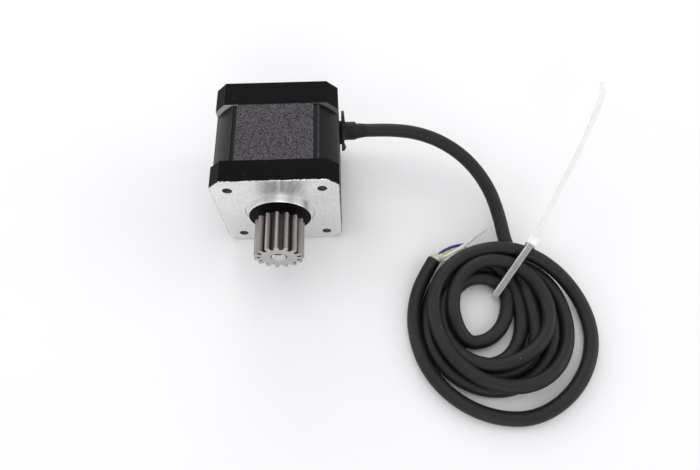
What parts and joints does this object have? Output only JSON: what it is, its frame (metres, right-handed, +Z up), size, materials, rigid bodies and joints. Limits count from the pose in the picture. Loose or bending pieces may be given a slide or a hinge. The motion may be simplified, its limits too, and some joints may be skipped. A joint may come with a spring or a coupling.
{
  "type": "stepper motor with pinion",
  "caption": "Square-flange stepper motor with a spur pinion on its shaft and a black cable from its side, wound into a tied loose coil with a stripped end.",
  "frame": {"origin": "centre of the front mounting face, on the shaft axis", "axes": "shaft along -Y, cable leaves towards +X, +Z up; the motor and the coil rest on the plane z = -21.15 mm"},
  "size_m": [0.1429, 0.121, 0.0424],
  "materials": {
    "black_paint": "satin black paint; machined front face left bare",
    "lamination": "black-painted electrical steel laminations",
    "bright_steel": "bright steel",
    "gear_steel": "hobbed mid-grey steel",
    "zinc_steel": "zinc-plated steel",
    "bearing_steel": "polished bearing steel",
    "rotor_steel": "laminated rotor steel",
    "magnet": "sintered magnet",
    "spacer_brass": "turned brass",
    "white_plastic": "moulded nylon",
    "cage_plastic": "moulded cage",
    "copper": "enamelled copper wire",
    "board": "glass-fibre circuit board",
    "pin_brass": "tinned brass",
    "lead_insulation": "insulated lead",
    "black_rubber": "moulded black rubber",
    "cable_jacket": "matte black cable jacket",
    "tie_nylon": "natural translucent nylon",
    "blue_core": "blue core insulation",
    "yellow_core": "yellow core insulation",
    "orange_core": "orange-brown core insulation",
    "white_core": "white core insulation"
  },
  "bodies": {
    "housing": {"front_end_cap": "black_paint", "rear_end_cap": "black_paint", "stator_stack": "lamination", "front_bobbin": "white_plastic", "rear_bobbin": "white_plastic", "phase_a_windings": "copper", "phase_b_windings": "copper", "terminal_board": "board", "terminal_pins": "pin_brass", "inner_leads": "lead_insulation", "case_screws": "zinc_steel", "front_bearing_outer_ring": "bearing_steel", "front_bearing_shields": "bright_steel", "rear_bearing_outer_ring": "bearing_steel", "rear_bearing_shields": "bright_steel", "wave_washer": "bright_steel", "cable_gland": "black_rubber", "cable_lead": "cable_jacket", "cable_coil": "cable_jacket", "cable_tie": "tie_nylon", "core_wire_blue": "blue_core", "core_wire_yellow": "yellow_core", "core_wire_orange": "orange_core", "core_wire_white": "white_core"},
    "rotor": {"rotor_shaft": "bright_steel", "rotor_front_cup": "rotor_steel", "rotor_rear_cup": "rotor_steel", "rotor_magnet": "magnet", "front_spacer": "spacer_brass", "rear_spacer": "spacer_brass", "front_bearing_inner_ring": "bearing_steel", "rear_bearing_inner_ring": "bearing_steel", "pinion": "gear_steel"},
    "front_cage": {"front_bearing_cage": "cage_plastic", "front_bearing_balls": "bearing_steel"},
    "rear_cage": {"rear_bearing_cage": "cage_plastic", "rear_bearing_balls": "bearing_steel"}
  },
  "joints": [
    {"name": "rotor_spin", "type": "hinge", "parent": "housing", "child": "rotor", "pos_m": [0, 0, 0], "axis": [0, -1, 0], "continuous": true},
    {"name": "front_cage_spin", "type": "hinge", "parent": "housing", "child": "front_cage", "pos_m": [0, 0.0035, 0], "axis": [0, -1, 0], "continuous": true},
    {"name": "rear_cage_spin", "type": "hinge", "parent": "housing", "child": "rear_cage", "pos_m": [0, 0.0351, 0], "axis": [0, -1, 0], "continuous": true}
  ],
  "couplings": [
    {"joint": "front_cage_spin", "follows": "rotor_spin", "ratio": 0.3491},
    {"joint": "rear_cage_spin", "follows": "rotor_spin", "ratio": 0.3491}
  ]
}
